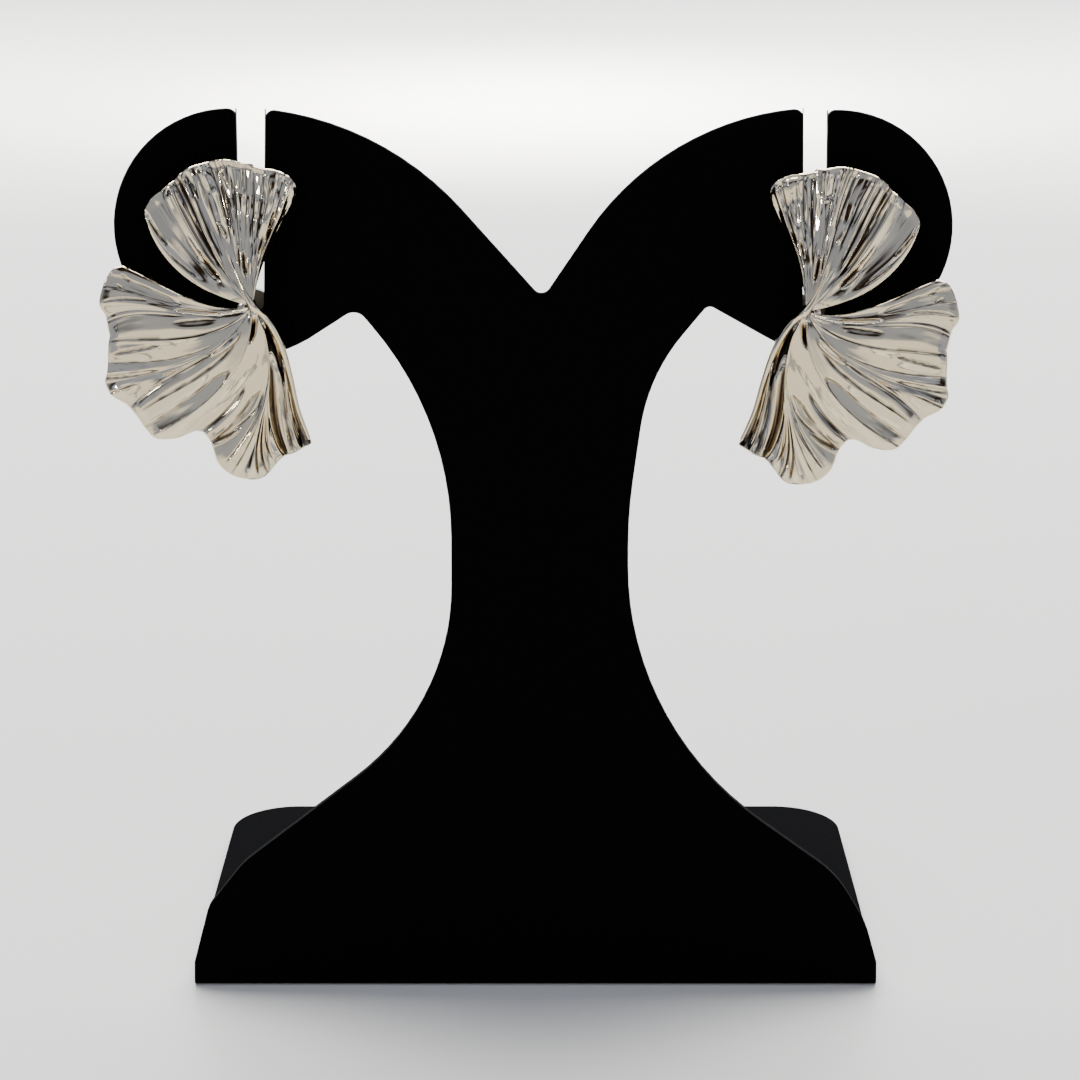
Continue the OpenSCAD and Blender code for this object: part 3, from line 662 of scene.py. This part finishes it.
def plated_casting(settings):
    """Pale gold plate on a mirror polished casting: a clean reflection, warm where the room is white, with a
    very slight unevenness of the hand polish, about 0.4 mm across. The plate's colour is painted dark brown
    as shade in the narrow creases and on the rounded edge's turn to the back."""
    material, tree = new_material("pale_gold_plated_casting")
    place = add_node(tree, "ShaderNodeTexCoord")
    painted_shade = add_node(tree, "ShaderNodeAttribute", attribute_name="painted_shade")
    # The plate's colour, painted dark brown as shade by that share
    tint = add_node(tree, "ShaderNodeValToRGB", [(painted_shade.outputs["Fac"], "Fac")])
    set_stops(tint, ((0.0, settings.colour), (1.0, settings.painted_shade_colour)))
    polish = add_node(tree, "ShaderNodeTexNoise", [(place.outputs["Object"], "Vector")],
                      {"Scale": 1 / (POLISH_MM * MM), "Detail": 2.0})
    bump = add_node(tree, "ShaderNodeBump", [(polish.outputs["Fac"], "Height")],
                    {"Strength": 0.05, "Distance": 0.02 * MM})
    shader = add_node(tree, "ShaderNodeBsdfPrincipled",
                      [(bump.outputs["Normal"], "Normal"), (tint.outputs["Color"], "Base Color")],
                      {"Metallic": 1.0, "Roughness": settings.roughness})
    add_node(tree, "ShaderNodeOutputMaterial", [(shader.outputs["BSDF"], "Surface")])
    return material


def turned_steel_painted_dark():
    """Turned steel, as ear nuts are made: a gray metal with a soft sheen, its colour painted darker than bare
    steel's as shade.
    """
    material, tree = new_material("turned_steel_painted_dark")
    shader = add_node(tree, "ShaderNodeBsdfPrincipled", (),
                      # Painted shade: the gray is darker than bare steel, standing in for the shade the nut
                      # sits in behind the stand
                      {"Base Color": linear("#5E5C59"), "Metallic": 1.0, "Roughness": 0.4})
    add_node(tree, "ShaderNodeOutputMaterial", [(shader.outputs["BSDF"], "Surface")])
    return material


def short_velvet(settings):
    """Black short-pile velvet glued over board: it swallows light, shows a faint sheen where it is seen
    edge on, and its pile of about 0.3 mm lies unevenly."""
    material, tree = new_material("black_short_velvet")
    place = add_node(tree, "ShaderNodeTexCoord")
    pile = add_node(tree, "ShaderNodeTexNoise", [(place.outputs["Object"], "Vector")],
                    {"Scale": 1 / (PILE_MM * MM), "Detail": 3.0})
    bump = add_node(tree, "ShaderNodeBump", [(pile.outputs["Fac"], "Height")],
                    {"Strength": 0.6, "Distance": 0.1 * MM})
    shader = add_node(tree, "ShaderNodeBsdfPrincipled", [(bump.outputs["Normal"], "Normal")],
                      {"Base Color": linear(settings.colour), "Roughness": 0.95, "Specular IOR Level": 0.02,
                       "Sheen Weight": 0.012, "Sheen Roughness": 0.4})
    add_node(tree, "ShaderNodeOutputMaterial", [(shader.outputs["BSDF"], "Surface")])
    return material


class LEAF_OT_leaves(bpy.types.Operator):
    """Make both cast leaves, each with its boss and ear post"""

    bl_idname = "leafstud.leaves"
    bl_label = "Leaves"

    def execute(self, context):
        settings = context.scene.leaf_settings
        material = plated_casting(settings)
        for side, place in PLACES.items():
            wall, right_edge = leaf_mesh(side, settings)
            parts = [
                wall,
                rolled_edge(side, right_edge),
                turned_body(placed(*BOSS_FROM_POST, place), BOSS),
                turned_body(placed(0, 0, place), POST),
            ]
            add_piece(f"{side}_cast_leaf", parts, material, [f"{side}_leaf"])
        return {"FINISHED"}


class LEAF_OT_nuts(bpy.types.Operator):
    """Give the ear nuts their metal"""

    bl_idname = "leafstud.nuts"
    bl_label = "Ear nuts"

    def execute(self, context):
        material = turned_steel_painted_dark()
        for side in PLACES:
            own_piece(f"{side}_ear_nut", material)
        return {"FINISHED"}


class LEAF_OT_stand(bpy.types.Operator):
    """Cover the stand with velvet and soften its edges"""

    bl_idname = "leafstud.stand"
    bl_label = "Velvet stand"

    def execute(self, context):
        settings = context.scene.stand_settings
        stand = own_piece("display_stand", short_velvet(settings))
        edge = stand.modifiers.new("wrapped_edge", "BEVEL")
        edge.width = settings.edge_mm * MM
        edge.segments = 3
        edge.limit_method = "ANGLE"
        edge.angle_limit = math.radians(50)
        return {"FINISHED"}


def add_floor(scene, colour):
    """A wide board of satin white, square round the stand."""
    half = FLOOR_HALF_M
    mesh = bpy.data.meshes.new("floor")
    mesh.from_pydata([(-half, -half, 0), (half, -half, 0), (half, half, 0), (-half, half, 0)], [],
                     [(0, 1, 2, 3)])
    floor = bpy.data.objects.new("floor", mesh)
    scene.collection.objects.link(floor)
    material, tree = new_material("satin_white_board")
    shader = add_node(tree, "ShaderNodeBsdfPrincipled", (),
                      {"Base Color": linear(colour), "Roughness": 0.42})
    add_node(tree, "ShaderNodeOutputMaterial", [(shader.outputs["BSDF"], "Surface")])
    mesh.materials.append(material)


def add_lights(scene, settings):
    """Soft rectangular lights over, behind and before the stand, and two that lighten the floor behind it."""
    # Columns: name, place, point aimed at, width, height, spread in degrees, power in watts
    lights = (
        ("overhead", (0.0, 0.85, 1.4), (0.0, 0.15, 0.0), 1.8, 1.0, 180, settings.key_w),
        ("rear", (0.0, 2.4, 0.55), (0.0, 0.2, 0.0), 2.8, 1.0, 180, settings.rear_w),
        ("front", (0.2, -1.6, 1.6), (0.2, -1.59, 0.0), 1.2, 0.5, 75, settings.front_w),
        ("upper_left", (-1.42, -1.76, 1.20), (0.0, 0.0, 0.08), 0.15, 0.15, 180, settings.spot_w),
        ("floor_glow", (0.0, 0.60, 0.60), (0.0, 0.60, 0.0), 0.70, 0.05, 36, settings.glow_w),
        ("middle_glow", (0.0, 0.58, 0.55), (0.0, 0.58, 0.0), 0.12, 0.04, 24, settings.glow_w / 3),
    )
    for name, spot, aim, width, height, spread, power in lights:
        data = bpy.data.lights.new(name, "AREA")
        data.shape = "RECTANGLE"
        data.size, data.size_y = width, height
        data.energy = power
        data.spread = math.radians(spread)
        light = bpy.data.objects.new(name, data)
        scene.collection.objects.link(light)
        light.location = spot
        light.rotation_euler = (Vector(aim) - Vector(spot)).to_track_quat("-Z", "Y").to_euler()


def add_room(scene):
    """The room round the studio, which the leaves mirror.

    It is white in front and low down. Above that, and well to the sides, it turns to a cool gray, then
    comes the dark gap before the overhead light. A room is never even: what is turned to the sides sees
    windows, shelves and dark corners, as soft patches a few tens of degrees wide."""
    world = bpy.data.worlds.new("soft_room")
    scene.world = world
    world.use_nodes = True
    tree = world.node_tree
    tree.nodes.clear()
    place = add_node(tree, "ShaderNodeTexCoord")
    split = add_node(tree, "ShaderNodeSeparateXYZ", [(place.outputs["Generated"], "Vector")])
    aside = add_node(tree, "ShaderNodeMath", [(split.outputs["X"], 0)], operation="ABSOLUTE")
    wide = add_node(tree, "ShaderNodeMath", [(aside.outputs[0], 0)], {1: SIDE_FROM},
                    operation="SUBTRACT", use_clamp=True)
    tall = add_node(tree, "ShaderNodeMath", [(wide.outputs[0], 0), (split.outputs["Z"], 2)], {1: SIDE_LIFT},
                    operation="MULTIPLY_ADD")
    ramp = add_node(tree, "ShaderNodeValToRGB", [(tall.outputs[0], "Fac")])
    set_stops(ramp, ROOM)
    patch = add_node(tree, "ShaderNodeTexNoise", [(place.outputs["Generated"], "Vector")],
                     {"Scale": 3.2, "Detail": 3.0, "Roughness": 0.55, "Distortion": 0.6})
    patches = add_node(tree, "ShaderNodeValToRGB", [(patch.outputs["Fac"], "Fac")])
    set_stops(patches, PATCHES)
    turned = add_node(tree, "ShaderNodeMath", [(aside.outputs[0], 0), (split.outputs["Z"], 2)],
                      {1: PATCH_SIDE}, operation="MULTIPLY_ADD")
    share = add_node(tree, "ShaderNodeMapRange", [(turned.outputs[0], "Value")],
                     {"From Min": PATCH_RANGE[0], "From Max": PATCH_RANGE[1]})
    mixed = add_node(tree, "ShaderNodeMix", [(share.outputs["Result"], 0), (ramp.outputs["Color"], 6),
                                             (patches.outputs["Color"], 7)], data_type="RGBA")
    back = add_node(tree, "ShaderNodeBackground", [(mixed.outputs[2], "Color")], {"Strength": ROOM_STRENGTH})
    add_node(tree, "ShaderNodeOutputWorld", [(back.outputs["Background"], "Surface")])


def add_camera(scene):
    """The camera, at the photo's angle."""
    data = bpy.data.cameras.new("photo_camera")
    data.lens = LENS_MM
    data.sensor_width = FILM_MM
    camera = bpy.data.objects.new("photo_camera", data)
    scene.collection.objects.link(camera)
    camera.location = CAMERA_SPOT
    camera.rotation_euler = (CAMERA_TURN, 0, 0)
    scene.camera = camera


class LEAF_OT_stage(bpy.types.Operator):
    """Make the floor, the soft lights, the room and the camera"""

    bl_idname = "leafstud.stage"
    bl_label = "Studio"

    def execute(self, context):
        settings = context.scene.stage_settings
        add_floor(context.scene, settings.floor)
        add_lights(context.scene, settings)
        add_room(context.scene)
        add_camera(context.scene)
        return {"FINISHED"}


class LEAF_PT_panel(bpy.types.Panel):
    """Lists the pieces and their settings"""

    bl_idname = "LEAF_PT_panel"
    bl_label = "Leaf studs"
    bl_space_type = "VIEW_3D"
    bl_region_type = "UI"
    bl_category = "Leaf Studs"

    def draw(self, context):
        for operator in OPERATORS:
            self.layout.operator(operator.bl_idname)
        for group in GROUPS:
            values = getattr(context.scene, group)
            box = self.layout.box()
            for name in values.__annotations__:
                box.prop(values, name)


OPERATORS = (LEAF_OT_stage, LEAF_OT_stand, LEAF_OT_nuts, LEAF_OT_leaves)
GROUPS = {
    "leaf_settings": LeafSettings,
    "stand_settings": StandSettings,
    "stage_settings": StageSettings,
}


def register():
    """Registers the classes and hangs the settings on the scene."""
    for cls in (*GROUPS.values(), *OPERATORS, LEAF_PT_panel):
        bpy.utils.register_class(cls)
    for name, cls in GROUPS.items():
        setattr(bpy.types.Scene, name, bpy.props.PointerProperty(type=cls))


def unregister():
    """Takes the settings and the classes away again."""
    for name in GROUPS:
        delattr(bpy.types.Scene, name)
    for cls in (LEAF_PT_panel, *reversed(OPERATORS), *reversed(GROUPS.values())):
        bpy.utils.unregister_class(cls)


def main():
    """Makes every piece and the studio."""
    register()
    bpy.ops.leafstud.stage()
    bpy.ops.leafstud.stand()
    bpy.ops.leafstud.nuts()
    bpy.ops.leafstud.leaves()


if __name__ == "__main__":
    main()
